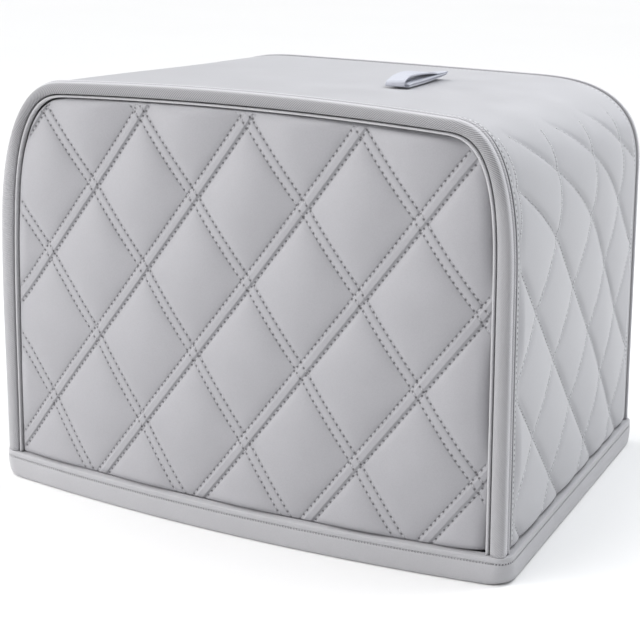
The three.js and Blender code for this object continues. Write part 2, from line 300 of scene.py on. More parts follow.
def face_relief(face, lattice_p, lattice_q, p, q):
    """Height of the quilted cloth over the face."""
    rising = FACE_LATTICE.to_seam(lattice_p, lattice_q, 1)
    falling = FACE_LATTICE.to_seam(lattice_p, lattice_q, -1)
    puffed = pillow(FACE_LATTICE, rising, RISING_HALF, RISING_SWELL, FACE_RIM) * lerp(
        FALLING_HELD, 1, pillow(FACE_LATTICE, falling, FALLING_HALF, FALLING_SWELL, FACE_RIM))
    ridge = RISING_RIDGE * (1 - np.clip(rising / RISING_HALF, 0, 1) ** RISING_FLAT)
    crossed = smooth(rising, RISING_HALF - 0.6, RISING_HALF + 0.6)
    ridge += FALLING_RIDGE * (1 - np.clip(falling / FALLING_HALF, 0, 1) ** FALLING_FLAT) * crossed
    height = (FACE_QUILT["valley"] + FACE_QUILT["puff"]) * puffed + ridge - FACE_QUILT["valley"]
    pulled = p / FACE_SCALE[0] + (q - FULLNESS_MIDDLE) / FACE_SCALE[1]
    height *= lerp(*FULLNESS, smooth(pulled, *FULLNESS_RANGE))
    height = rolled_down(height, TOP_SINK, HEIGHT - PANEL_EDGE - q, TOP_ROLL)
    height = rolled_down(height, SIDE_SINK, side_distance(face, PANEL_EDGE, p, q), SIDE_ROLL)
    return rolled_down(height, FOOT_SINK, q - FOOT, FOOT_ROLL) - right_bend(face, p, q)


# Mesh making

def new_object(name, data):
    made = bpy.data.objects.new(name, data)
    bpy.context.scene.collection.objects.link(made)
    return made


def new_piece(name, points, faces, material, values=None):
    """A smooth mesh from points in millimetres, with named numbers on its points for the material."""
    mesh = bpy.data.meshes.new(name)
    mesh.from_pydata((np.asarray(points) * MM).tolist(), [], [list(map(int, f)) for f in faces])
    mesh.polygons.foreach_set("use_smooth", [True] * len(mesh.polygons))
    for key, value in (values or {}).items():
        layer = mesh.attributes.new(key, "FLOAT", "POINT")
        layer.data.foreach_set("value", np.asarray(value, np.float32).ravel())
    mesh.materials.append(material)
    mesh.update()
    return new_object(name, mesh)


def grid_faces(rows, columns, start=0, around=False, ring=False):
    """Quads of a grid of points; around joins the last column to the first, and ring the last row."""
    index = start + np.arange(rows * columns).reshape(rows, columns)
    if ring:
        index = np.concatenate([index, index[:1]])
    if around:
        index = np.concatenate([index, index[:, :1]], 1)
    return np.stack([index[:-1, :-1], index[:-1, 1:], index[1:, 1:], index[1:, :-1]], -1).reshape(-1, 4)


def tube_faces(stations, around):
    """Faces of a section swept along a line, closed at both ends."""
    end = (stations - 1) * around
    faces = [tuple(f) for f in grid_faces(stations, around, around=True)]
    return faces + [tuple(range(around))[::-1], tuple(range(end, end + around))]


def cut_to_outline(places, quads, inside):
    """Cuts a flat grid where inside turns negative. Returns places, faces and the cut edge as a loop."""
    places = list(map(tuple, places))
    positive = inside > 0
    count = positive[quads].sum(1)
    faces = [tuple(f) for f in quads[count == 4]]
    made = {}
    follow = {}

    def crossing(a, b):
        key = (min(a, b), max(a, b))
        if key not in made:
            t = inside[a] / (inside[a] - inside[b])
            made[key] = len(places)
            places.append(tuple(lerp(np.array(places[a]), np.array(places[b]), t)))
        return made[key]

    for quad in quads[(count > 0) & (count < 4)]:
        polygon = []
        leaving = entering = None
        for a, b in zip(quad, np.roll(quad, -1)):
            if positive[a]:
                polygon.append(a)
            if positive[a] != positive[b]:
                polygon.append(crossing(a, b))
                if positive[a]:
                    leaving = polygon[-1]
                else:
                    entering = polygon[-1]
        faces.append(tuple(polygon))
        follow[leaving] = entering
    loop = [next(iter(follow))]
    while follow[loop[-1]] != loop[0]:
        loop.append(follow[loop[-1]])
    used = sorted({i for face in faces for i in face})
    renamed = {old: new for new, old in enumerate(used)}
    faces = [tuple(renamed[i] for i in face) for face in faces]
    return np.array(places)[used], faces, [renamed[i] for i in loop]


def start_at(loop, ring, corner):
    """The loop turned round so that it starts at the place nearest to a corner; ring holds its places."""
    first = int(np.argmin(np.linalg.norm(ring - np.array(corner), axis=1)))
    return loop[first:] + loop[:first]


def close_strip(points, a, b):
    """Triangles between two closed loops, always along the shorter diagonal."""
    a, b = a + a[:1], b + b[:1]
    faces = []
    i = j = 0
    while i < len(a) - 1 or j < len(b) - 1:
        step_a = np.linalg.norm(points[a[i + 1]] - points[b[j]]) if i < len(a) - 1 else math.inf
        step_b = np.linalg.norm(points[a[i]] - points[b[j + 1]]) if j < len(b) - 1 else math.inf
        if step_a <= step_b:
            faces.append((a[i], a[i + 1], b[j]))
            i += 1
        else:
            faces.append((a[i], b[j + 1], b[j]))
            j += 1
    return faces


THREAD_TAPER = 0.55  # share of the thread's radius at both ends of a stitch


def thread_piece(name, centres, normals, radius, material, sides=5):
    """Short tubes of thread: one for each row of centres."""
    count, rings, _ = centres.shape
    tangent = np.gradient(centres, axis=1)
    tangent /= np.linalg.norm(tangent, axis=-1, keepdims=True)
    normal = normals - (normals * tangent).sum(-1, keepdims=True) * tangent
    normal /= np.linalg.norm(normal, axis=-1, keepdims=True)
    aside = np.cross(tangent, normal)
    angle = np.arange(sides) / sides * 2 * math.pi
    taper = np.where((np.arange(rings) == 0) | (np.arange(rings) == rings - 1), THREAD_TAPER, 1.0)
    ring = aside[:, :, None] * np.cos(angle)[:, None] + normal[:, :, None] * np.sin(angle)[:, None]
    points = centres[:, :, None] + ring * (radius * taper)[None, :, None, None]
    tube = tube_faces(rings, sides)
    faces = [[i + k * rings * sides for i in face] for k in range(count) for face in tube]
    return new_piece(name, points.reshape(-1, 3), faces, material)


FAR = 20.0  # a distance that no stitch or painted crease shade reaches


def with_inner_side(values, count):
    """The values of the outer side's points, and then of an inner side that is neither sewn nor painted
    with crease shade.
    """
    return {
        key: np.concatenate([value, np.full(count, 0.0 if "sewn" in key else FAR)])
        for key, value in values.items()
    }


# Materials

class Nodes:
    """A material's node tree, with short calls for the nodes that cloth needs."""

    def __init__(self, name):
        self.material = bpy.data.materials.new(name)
        self.material.use_nodes = True
        self.tree = self.material.node_tree
        self.shader = self.tree.nodes["Principled BSDF"]

    def add(self, kind, **settings):
        node = self.tree.nodes.new(kind)
        for key, value in settings.items():
            setattr(node, key, value)
        return node

    def put(self, socket, value):
        if isinstance(value, bpy.types.NodeSocket):
            self.tree.links.new(value, socket)
        elif value is not None:
            socket.default_value = value

    def math(self, operation, a, b=None, c=None):
        node = self.add("ShaderNodeMath", operation=operation)
        for socket, value in zip(node.inputs, (a, b, c)):
            self.put(socket, value)
        return node.outputs[0]

    def set(self, **values):
        """Plain numbers on the shader's own sockets, named with _ for each blank."""
        for key, value in values.items():
            self.shader.inputs[key.replace("_", " ")].default_value = value

    def value(self, name):
        return self.add("ShaderNodeAttribute", attribute_name=name).outputs["Fac"]

    def place(self):
        return self.add("ShaderNodeTexCoord").outputs["Object"]

    def noise(self, scale, detail=2.0, roughness=0.5, at=None):
        node = self.add("ShaderNodeTexNoise")
        self.put(node.inputs["Vector"], at or self.place())
        node.inputs["Scale"].default_value = scale
        node.inputs["Detail"].default_value = detail
        node.inputs["Roughness"].default_value = roughness
        return node.outputs["Fac"]

    def ramp(self, value, low, high, to_low=0.0, to_high=1.0):
        node = self.add("ShaderNodeMapRange", interpolation_type="SMOOTHSTEP")
        for socket, number in zip(node.inputs, (value, low, high, to_low, to_high)):
            self.put(socket, number)
        return node.outputs[0]

    def mix(self, share, a, b):
        node = self.add("ShaderNodeMix", data_type="RGBA")
        self.put(node.inputs["Factor"], share)
        self.put(node.inputs[6], a)
        self.put(node.inputs[7], b)
        return node.outputs[2]

    def bump(self, height, distance, under=None):
        node = self.add("ShaderNodeBump")
        node.inputs["Strength"].default_value = 1.0
        node.inputs["Distance"].default_value = distance
        self.put(node.inputs["Height"], height)
        self.put(node.inputs["Normal"], under)
        return node.outputs[0]

    def ripple(self, value, pitch):
        """A wave from 0 to 1 along a value in millimetres."""
        turned = self.math("MULTIPLY", value, 2 * math.pi / pitch)
        return self.math("MULTIPLY_ADD", self.math("SINE", turned), 0.5, 0.5)

    def holes(self, row, along, half, pitch, size):
        """1 in the needle holes of a row that lies half from the seam's middle."""
        aside = self.math("ABSOLUTE", self.math("SUBTRACT", row, half))
        step = self.math("PINGPONG", along, pitch / 2)
        square = self.math("ADD", self.math("MULTIPLY", aside, aside), self.math("MULTIPLY", step, step))
        return self.ramp(self.math("SQRT", square), size * 0.45, size, 1.0, 0.0)


def shade(colour, factor):
    return tuple(c * factor for c in colour[:3]) + (1.0,)


MOTTLE_SCALE = 45
GRAIN_SCALE = 1500


def cloth_nodes(name, colour, roughness, sheen, slub=0.05):
    """Smooth cloth with a fine grain, soft mottling and a little sheen."""
    nodes = Nodes(name)
    at = nodes.place()
    mottle = nodes.noise(MOTTLE_SCALE, 3, at=at)
    fine = nodes.noise(GRAIN_SCALE, 3, at=at)
    pale, dark = shade(colour, 1 + slub / 2), shade(colour, 1 - slub / 2)
    tone = nodes.mix(nodes.ramp(mottle, 0.25, 0.75), dark, pale)
    nodes.tone = nodes.mix(nodes.ramp(fine, 0.3, 0.75, 0.0, 0.35), tone, shade(colour, 0.86))
    nodes.relief = nodes.bump(fine, 0.000035)
    nodes.set(Sheen_Weight=sheen, Sheen_Roughness=0.45, Specular_IOR_Level=0.35)
    uneven = nodes.ramp(mottle, 0.2, 0.8, roughness - 0.05, roughness + 0.05)
    nodes.put(nodes.shader.inputs["Roughness"], uneven)
    return nodes


def finish_nodes(nodes):
    nodes.put(nodes.shader.inputs["Base Color"], nodes.tone)
    nodes.put(nodes.shader.inputs["Normal"], nodes.relief)
    return nodes.material


def sewn_cloth(
        name, colour, roughness, sheen, rows, groove_depth=0.0002, hole_shade=0.36, ridge=None, painted_crease_shades=()):
    """Cloth with rows of needle holes; a row is (row value, along value, fade value, half, pitch, size).

    A ridge (row value, half, height) stands with crisp shoulders between the two rows of a seam.
    A crease (row value, from, to, shade) is painted shade: the colour is darker where the cloth is folded
    in at its edge."""
    nodes = cloth_nodes(name, colour, roughness, sheen)
    if ridge:
        row, half, height = ridge
        step = nodes.ramp(nodes.value(row), half - 1.6, half - 0.6, 1.0, 0.0)
        nodes.relief = nodes.bump(step, height, nodes.relief)
    total = None
    for row, along, fade, half, pitch, size in rows:
        hole = nodes.holes(nodes.value(row), nodes.value(along), half, pitch, size)
        hole = nodes.math("MULTIPLY", hole, nodes.value(fade))
        total = hole if total is None else nodes.math("MAXIMUM", total, hole)
        aside = nodes.math("ABSOLUTE", nodes.math("SUBTRACT", nodes.value(row), half))
        groove = nodes.math("MULTIPLY", nodes.ramp(aside, 0.1, 1.0, 1.0, 0.0), nodes.value(fade))
        nodes.relief = nodes.bump(nodes.math("SUBTRACT", 1.0, groove), groove_depth, nodes.relief)
    # painted shade in the needle holes: the colour is darkened inside each hole
    nodes.tone = nodes.mix(total, nodes.tone, shade(colour, hole_shade))
    # painted shade in the creases: the colour is darkened where the cloth folds in at the binding and at
    # the foot
    for row, start, stop, dark in painted_crease_shades:
        folded = nodes.ramp(nodes.value(row), start, stop, 1.0, 0.0)
        nodes.tone = nodes.mix(folded, nodes.tone, shade(colour, dark))
    nodes.relief = nodes.bump(nodes.math("SUBTRACT", 1.0, total), 0.0003, nodes.relief)
    return finish_nodes(nodes)


# The panels and the gusset are one satin; the panels' grey is set darker than the gusset's, as painted
# shade.
FACE_GREY = (0.376, 0.372, 0.393)
SIDE_GREY = (0.402, 0.401, 0.422)
TAPE_GREY = (0.425, 0.421, 0.44)
# The piping is the same satin in a lighter grey, as a painted highlight.
PIPING_GREY = (0.52, 0.517, 0.535)
HEM_GREY = (0.435, 0.432, 0.45)
RIBBON_GREY = (0.478, 0.492, 0.553)
THREAD_GREY = (0.5, 0.5, 0.52)
# The gusset's stitches are the same thread in a lighter grey, as a painted highlight.
SIDE_THREAD_GREY = (0.64, 0.64, 0.66)

HOLE = 0.72  # radius of a needle hole's painted shade
SIDE_HOLE = 0.55
EDGE_HOLE = 0.75
HEM_HOLE = 0.6
TWILL_PITCH = 1.2
PIPING_RIB = 0.8
RIBBON_RIB = 0.7


def face_cloth():
    rows = [
        ("rising", "rising_along", "sewn", RISING_HALF, STITCH, HOLE),
        ("falling", "falling_along", "sewn", FALLING_HALF, STITCH, HOLE),
    ]
    # the foot crease darkens the colour as painted shade
    return sewn_cloth(
        "quilted_satin", FACE_GREY, 0.5, 0.25, rows, hole_shade=0.42,
        ridge=("rising", RISING_HALF, 0.00045), painted_crease_shades=[("foot", 0.3, 1.1, 0.3)])


def side_cloth():
    rows = [
        ("rising", "rising_along", "sewn", 0.0, STITCH, SIDE_HOLE),
        ("falling", "falling_along", "sewn", 0.0, STITCH, SIDE_HOLE),
        ("edge", "edge_along", "edge_sewn", EDGE_ROW, EDGE_STITCH, EDGE_HOLE),
    ]
    # the edge and foot creases darken the colour as painted shade
    return sewn_cloth(
        "gusset_satin", SIDE_GREY, 0.5, 0.25, rows, hole_shade=0.25,
        painted_crease_shades=[("edge", 2.1, 3.0, 0.2), ("foot", 0.5, 1.6, 0.25)])


def twill_tape():
    """Matte tape with a fine diagonal twill."""
    nodes = cloth_nodes("twill_tape", TAPE_GREY, 0.8, 0.3)
    slanted = nodes.math("SUBTRACT", nodes.value("along"), nodes.value("around"))
    twill = nodes.ripple(slanted, TWILL_PITCH)
    amount = nodes.ramp(nodes.value("top"), 0.0, 1.0, 0.2, 0.75)
    nodes.tone = nodes.mix(nodes.math("MULTIPLY", twill, amount), nodes.tone, shade(TAPE_GREY, 0.38))
    # painted highlight: the tape's raised lip is coloured lighter
    nodes.tone = nodes.mix(nodes.value("lip_highlight"), nodes.tone, shade(TAPE_GREY, 1.42))
    nodes.relief = nodes.bump(nodes.math("SUBTRACT", 1.0, twill), 0.00018, nodes.relief)
    return finish_nodes(nodes)


def piping_cloth():
    """The satin cloth rolled thin, with fine creases across it, in a lighter grey that is a painted
    highlight.
    """
    nodes = cloth_nodes("piping_satin", PIPING_GREY, 0.5, 0.2)
    ribs = nodes.ripple(nodes.value("along"), PIPING_RIB)
    nodes.tone = nodes.mix(nodes.math("MULTIPLY", ribs, 0.18), nodes.tone, shade(PIPING_GREY, 0.72))
    nodes.relief = nodes.bump(nodes.math("SUBTRACT", 1.0, ribs), 0.00012, nodes.relief)
    return finish_nodes(nodes)


def hem_cloth():
    rows = [("height", "along", "sewn", 0.0, HEM_STITCH, HEM_HOLE)]
    return sewn_cloth("hem_tape", HEM_GREY, 0.75, 0.25, rows, groove_depth=0.0001)


def ribbon_cloth():
    """Pale grosgrain: fine ribs across the ribbon."""
    nodes = cloth_nodes("pale_ribbon", RIBBON_GREY, 0.55, 0.3, slub=0.02)
    ribs = nodes.ripple(nodes.value("along"), RIBBON_RIB)
    nodes.tone = nodes.mix(nodes.math("MULTIPLY", ribs, 0.12), nodes.tone, shade(RIBBON_GREY, 0.8))
    nodes.relief = nodes.bump(ribs, 0.00008, nodes.relief)
    return finish_nodes(nodes)


def thread_material(name, colour):
    return finish_nodes(cloth_nodes(name, colour, 0.55, 0.3))


# Quilted faces

INNER_CELL = 6.0
INNER_INSET = 0.3  # how much smaller the inner side is
ROLL_RING = [(0.2, 0.2), (0.4, 0.9), (0.5, 2.4)]  # out from the cut edge, and further down
ROLL_WIDTH = ROLL_RING[-1][0]
FACE_MARGIN = 14.0  # of the lattice past the panel


def lattice_line(middle, cell, low, high):
    """Evenly spaced numbers from below low to above high, one of them at the middle."""
    first = math.floor((low - middle) / cell)
    return middle + np.arange(first, math.ceil((high - middle) / cell) + 1) * cell


def flat_grid(lattice, cells):
    """Lattice places over a whole face, on lines that pass through the quilt's crossings."""
    reach = WIDTH / 2 + FACE_MARGIN
    low, high = CUT - FACE_MARGIN, HEIGHT - PANEL_EDGE + FACE_MARGIN
    p, q = np.meshgrid(
        lattice_line(lattice.at[0], lattice.run / cells, -reach, reach),
        lattice_line(lattice.at[1], lattice.rise / cells, low, high),
    )
    return np.stack([p.ravel(), q.ravel()], -1), grid_faces(*p.shape)


def rim_normals(places, loop):
    """Which way is out of a flat loop, at each of its points."""
    ring = places[loop]
    along = np.roll(ring, -2, 0) - np.roll(ring, 2, 0)
    normal = np.stack([along[:, 1], -along[:, 0]], -1)
    normal /= np.linalg.norm(normal, axis=1, keepdims=True)
    outward = (normal * (ring - ring.mean(0))).sum()
    return normal if outward > 0 else -normal


def outer_side(face):
    """The quilted side: places in the lattice and on the face, height, faces and the edge as a loop."""
    lattice_places, quads = flat_grid(FACE_LATTICE, FACE_QUILT["cells"])
    p, q = drift(*lattice_places.T)
    inset = PANEL_EDGE + ROLL_WIDTH
    inside = np.minimum(edge_distance(face, inset, p, q), q - FOOT - ROLL_WIDTH)
    flat, faces, loop = cut_to_outline(lattice_places, quads, inside)
    p, q = drift(*flat.T)
    return flat, np.stack([p, q], -1), face_relief(face, *flat.T, p, q), faces, loop


def inner_side(face):
    """The plain side that closes a panel: its places, points, faces and edge loop."""
    half = WIDTH / 2
    p, q = np.meshgrid(
        np.arange(-half - INNER_CELL, half + 2 * INNER_CELL, INNER_CELL),
        np.arange(0, HEIGHT + 2 * INNER_CELL, INNER_CELL),
    )
    places = np.stack([p.ravel(), q.ravel()], -1)
    to_edge = edge_distance(face, PANEL_EDGE + INNER_INSET, *places.T)
    inside = np.minimum(to_edge, places[:, 1] - FOOT - INNER_INSET)
    flat, faces, loop = cut_to_outline(places, grid_faces(*p.shape), inside)
    return flat, place(face, *flat.T, CLOTH + right_bend(face, *flat.T)), faces, loop


def quilted_face(name, face, material):
    """A quilted panel with its edge rolled down into the seam, closed by a plain inner side."""
    flat, sewn_places, lift, faces, loop = outer_side(face)
    points = [place(face, *sewn_places.T, -lift)]
    outward = rim_normals(sewn_places, loop)
    rings = [loop]
    start = len(flat)
    for out, down in ROLL_RING:
        ring = sewn_places[loop] + outward * out
        points.append(place(face, *ring.T, -(lift[loop] - down)))
        rings.append(list(range(start, start + len(loop))))
        start += len(loop)
    for a, b in zip(rings, rings[1:]):
        for k in range(len(loop)):
            after = (k + 1) % len(loop)
            faces.append((a[k], b[k], b[after], a[after]))
    inner_flat, inner_points, inner_faces, inner_loop = inner_side(face)
    points = np.concatenate(points + [inner_points])
    faces += [tuple(i + start for i in reversed(f)) for f in inner_faces]
    corner = (-WIDTH / 2, CUT)
    outer_rim = start_at(rings[-1], sewn_places[loop] + outward * ROLL_WIDTH, corner)
    inner_rim = start_at([i + start for i in inner_loop], inner_flat[inner_loop], corner)
    faces += [f[::-1] for f in close_strip(points, outer_rim, inner_rim)]
    if face["out"] > 0:
        faces = [f[::-1] for f in faces]
    values = seam_values(FACE_LATTICE, *flat.T)
    to_edge = np.maximum(edge_distance(face, PANEL_EDGE, *sewn_places.T), 0)
    values["sewn"] = smooth(to_edge, 0.8, 2.0)
    values["foot"] = sewn_places[:, 1] - FOOT
    return new_piece(name, points, faces, material, with_inner_side(values, len(points) - len(flat)))


THREAD = 0.27  # radius
SIDE_THREAD = 0.4
HEM_THREAD = 0.17
STITCH_STATIONS = np.array([0.2, 0.39, 0.61, 0.8])  # places of a thread's rings from one hole to the next
STITCH_ARCH = np.array([-0.35, 0.12, 0.12, -0.35])  # how far each ring's middle stands over the cloth
FACE_REACH = 420.0  # how far along a seam stitches are tried
SIDE_REACH = 400.0
EDGE_CLEAR = 1.2  # from a face's last stitches to its edge
FOOT_CLEAR = 0.8
CROSS_CLEAR = 0.5  # from a falling row's stitches to a rising row


def seam_rows(lattice, family, half, reach):
    """Lattice places of every stitch of one family: arrays of shape (stitches, stations)."""
    across = []
    up = []
    count = int(math.ceil(reach / lattice.spacing)) + 2
    stitches = np.arange(-int(reach / STITCH), int(reach / STITCH))
    along = (stitches[:, None] + STITCH_STATIONS) * STITCH
    for seam in range(-count, count + 1):
        for side in ((-1, 1) if half else (1,)):
            p, q = lattice.seam_place(seam, family, side * half, along)
            across.append(p)
            up.append(q)
    return np.concatenate(across), np.concatenate(up)


def face_threads(name, face, material):
    centres = []
    for family, half in ((1, RISING_HALF), (-1, FALLING_HALF)):
        lattice_p, lattice_q = seam_rows(FACE_LATTICE, family, half, FACE_REACH)
        p, q = drift(lattice_p, lattice_q)
        to_edge = edge_distance(face, PANEL_EDGE, p, q)
        keep = (to_edge > EDGE_CLEAR).all(1) & (q > FOOT + FOOT_CLEAR).all(1)
        if family < 0:
            over = FACE_LATTICE.to_seam(lattice_p, lattice_q, 1)
            keep &= (np.abs(over - RISING_HALF) > CROSS_CLEAR).all(1)
        lattice_p, lattice_q, p, q = (v[keep] for v in (lattice_p, lattice_q, p, q))
        lift = face_relief(face, lattice_p, lattice_q, p, q) + STITCH_ARCH
        centres.append(place(face, p, q, -lift))
    centres = np.concatenate(centres)
    normals = np.zeros_like(centres)
    normals[..., 1] = face["out"]
    return thread_piece(name, centres, normals, THREAD, material)


# Gusset

NEAREST = DEPTH / 2 - SEAM_DEPTH
SHOULDER_ROW = SIDE_QUILT["at"][1] + 3 * SIDE_QUILT["rise"]  # where the sewn rows of the mesh end
TOP_ROWS = 44
EDGE_ROW = 5.0  # a row of stitches this far from the gusset's front and back edges
EDGE_STITCH = 2.7
PROFILE_STEPS = 96
EDGE_FOLD = 2.4  # how far the gusset's edges fold in next to the binding
EDGE_FOLD_WIDTH = (1.2, 2.7)
EDGE_COLUMNS = np.array([0.0, 0.6, 1.2, 1.4, 1.6, 1.85, 2.1, 2.4, 2.7, 3.2])  # closer mesh lines there
FOOT_ROWS = np.array([0.0, 0.3, 0.7, 1.2, 1.8])
FOOT_ROWS_END = 2.6
EDGE_GROOVE = (0.45, 0.9)  # depth and width of the groove that the edge row pulls
SIDE_SEAM_HALF = 0.3  # the gusset's seams have a single row, in a narrow valley
SIDE_SWELL = 2.0
TOP_WAVE = 0.35  # how uneven the plain top is
TOP_WAVE_DEEP = 23.0
TOP_WAVE_WIDE = 31.0
FACING_STEP = 6.0  # length of cloth over which its facing is measured
INNER_COLUMNS = 9  # the mesh of the plain inner side
INNER_ROW = 14.0
INNER_START = 30.0
INNER_TOP_ROWS = 12
SIDE_HELD = 0.45  # share of a side diamond's height that stays at its rising seams
QUILT_FADE = (0.35, 0.85)  # the seams die out where the cloth faces up this much


def section_at(share):
    """The right half of the cross-section at a depth share: length along the cloth, across and up."""
    keys = ("edge_run", "edge_drop", "edge_power")
    run, drop, power = (lerp(FRONT[key], BACK[key], share) for key in keys)
    angle = np.linspace(0, math.pi / 2, PROFILE_STEPS + 1)
    p = WIDTH / 2 - run * (1 - np.cos(angle) ** (2 / power))
    q = HEIGHT - drop + drop * np.sin(angle) ** (2 / power)
    p = np.concatenate([[WIDTH / 2], p, [0.0]])
    q = np.concatenate([[0.0], q, [HEIGHT]])
    return running_length(np.stack([p, q], -1)), p, q


SECTIONS = {}


def gusset_places(share, s, side, lift):
    """Points on the gusset for one depth share, at lengths s up the cloth, and how far each faces up.

    side is 1 on the right and -1 on the left. lift turns how far the cloth faces up into its height."""
    key = round(float(share), 6)
    if key not in SECTIONS:
        SECTIONS[key] = section_at(share)
    length, p_line, q_line = SECTIONS[key]
    p, q = np.interp(s, length, p_line), np.interp(s, length, q_line)
    low, high = np.maximum(s - FACING_STEP, 0), np.minimum(s + FACING_STEP, length[-1])
    across = np.interp(high, length, q_line) - np.interp(low, length, q_line)
    up = np.interp(low, length, p_line) - np.interp(high, length, p_line)
    size = np.hypot(across, up)
    across, up = across / size, up / size
    height = lift(up)
    flat_p, flat_q = side * (p + across * height), q + up * height
    near = place(FRONT, flat_p, flat_q, SEAM_DEPTH)
    far = place(BACK, flat_p, flat_q, SEAM_DEPTH)
    return lerp(near, far, share), up


def gusset_fade(up):
    """1 where the gusset is quilted, down to 0 over the top."""
    return 1 - smooth(up, *QUILT_FADE)


def gusset_relief(y, s, up, from_top):
    """Height of the gusset's cloth: single-row diamonds on the sides, a plain top, and an edge strip."""
    sewn_at = side_lattice_place(y, s)
    rising, falling = (
        pillow(SIDE_LATTICE, SIDE_LATTICE.to_seam(sewn_at, s, family), SIDE_SEAM_HALF, SIDE_SWELL, SIDE_RIM)
        for family in (1, -1)
    )
    puffed = lerp(SIDE_HELD, 1, rising) * falling
    quilt = (SIDE_QUILT["valley"] + SIDE_QUILT["puff"]) * puffed - SIDE_QUILT["valley"]
    to_edge = NEAREST - np.abs(y)
    inner = smooth(to_edge, EDGE_ROW - 0.5, EDGE_ROW + 6)
    height = gusset_fade(up) * quilt * inner
    depth, width = EDGE_GROOVE
    height += -depth * np.exp(-(((to_edge - EDGE_ROW) / width) ** 2))
    wave = TOP_WAVE * np.sin(y / TOP_WAVE_DEEP + 1.1) * np.sin(from_top / TOP_WAVE_WIDE + 0.6)
    height += wave * smooth(up, 0.7, 1.0) * inner
    height -= EDGE_FOLD * (1 - smooth(to_edge, *EDGE_FOLD_WIDTH))
    return rolled_down(height, FOOT_SINK, s - FOOT, FOOT_ROLL)


def gusset_lines():
    """Depths of the mesh lines up the gusset, through the quilt's crossings and closer at the edges."""
    inner = lattice_line(SIDE_QUILT["at"][0], SIDE_QUILT["run"] / SIDE_QUILT["cells"], -NEAREST, NEAREST)
    inner = inner[np.abs(inner) < NEAREST - EDGE_COLUMNS[-1] - 0.3]
    return np.concatenate([-NEAREST + EDGE_COLUMNS, inner, (NEAREST - EDGE_COLUMNS)[::-1]])


def gusset_rows():
    """Lengths up the cloth of the mesh rows below the shoulder."""
    step = SIDE_QUILT["rise"] / SIDE_QUILT["cells"]
    first = math.ceil((FOOT + FOOT_ROWS_END - SIDE_QUILT["at"][1]) / step)
    k = np.arange(first, int(round((SHOULDER_ROW - SIDE_QUILT["at"][1]) / step)) + 1)
    return np.concatenate([FOOT + FOOT_ROWS, SIDE_QUILT["at"][1] + k * step])


def depth_share(y):
    return (y + NEAREST) / (2 * NEAREST)


def over_the_top(rows, total, count):
    """Lengths up the cloth: the given rows, and then even ones to the top's middle."""
    return np.concatenate([rows, lerp(rows[-1], total, np.arange(1, count + 1) / count)])


def both_sides(left, right):
    """One column over the whole gusset, from two that start at the foot and meet at the top."""
    return np.concatenate([left, right[-2::-1]])


def gusset_outer():
    """The quilted side of the gusset: a grid of points, and the points' values."""
    sewn_rows = gusset_rows()
    columns = []
    values = []
    for y in gusset_lines():
        share = depth_share(y)
        total = section_at(share)[0][-1]
        s = over_the_top(sewn_rows, total, TOP_ROWS)
        halves = []
        for side in (-1, 1):
            from_top = side * (total - s)
            points, up = gusset_places(share, s, side, lambda up: gusset_relief(y, s, up, from_top))
            halves.append(points)
        columns.append(both_sides(*halves))
        to_edge = NEAREST - abs(y)
        column = seam_values(SIDE_LATTICE, side_lattice_place(y, s), s)
        column["sewn"] = gusset_fade(up) * smooth(to_edge, EDGE_ROW + 0.5, EDGE_ROW + 2)
        column["edge"] = np.full(len(s), to_edge)
        column["edge_along"] = s
        column["edge_sewn"] = np.ones(len(s))
        column["foot"] = s - FOOT
        values.append({key: both_sides(value, value) for key, value in column.items()})
    return np.stack(columns, 1), {key: np.stack([v[key] for v in values], 1).ravel() for key in values[0]}


def gusset_inner():
    """The plain inner side of the gusset, as a grid of points."""
    rows = np.concatenate([[FOOT], np.arange(INNER_START, SHOULDER_ROW, INNER_ROW)])
    columns = []
    for y in np.linspace(-NEAREST, NEAREST, INNER_COLUMNS):
        share = depth_share(y)
        s = over_the_top(rows, section_at(share)[0][-1], INNER_TOP_ROWS)
        left, right = (gusset_places(share, s, side, lambda up: -CLOTH)[0] for side in (-1, 1))
        columns.append(both_sides(left, right))
    return np.stack(columns, 1)


def grid_rim(rows, columns, start=0):
    """The points round a grid, as a loop."""
    index = start + np.arange(rows * columns).reshape(rows, columns)
    return [int(i) for i in (*index[0, :-1], *index[:-1, -1], *index[-1, :0:-1], *index[:0:-1, 0])]


def gusset_piece(name, material):
    outer, values = gusset_outer()
    inner = gusset_inner()
    shape, inner_shape = outer.shape[:2], inner.shape[:2]
    start = math.prod(shape)
    points = np.concatenate([outer.reshape(-1, 3), inner.reshape(-1, 3)])
    faces = [tuple(f) for f in grid_faces(*shape)]
    faces += [tuple(f[::-1]) for f in grid_faces(*inner_shape, start=start)]
    faces += close_strip(points, grid_rim(*shape), grid_rim(*inner_shape, start=start))
    return new_piece(name, points, faces, material, with_inner_side(values, math.prod(inner_shape)))


EDGE_SUNK = 0.2  # how far the edge row's threads lie in their groove


def gusset_stitches(y, s, side, sunk=0.0):
    """Threads' middles, their way out of the cloth, and how quilted the cloth is at each.

    y and s have shape (stitches, stations)."""
    found = np.zeros(y.shape + (3,))
    out = np.zeros(y.shape + (3,))
    fade = np.zeros(y.shape)
    for index in np.ndindex(y.shape):
        share = depth_share(y[index])
        at = np.array([s[index]])

        def relief(up, above=0.0):
            return gusset_relief(y[index], at, up, 0 * at) + STITCH_ARCH[index[1]] - sunk + above

        low, up = gusset_places(share, at, side, relief)
        high, _ = gusset_places(share, at, side, lambda up: relief(up, 1.0))
        found[index], out[index], fade[index] = low[0], high[0] - low[0], gusset_fade(up)[0]
    return found, out, fade


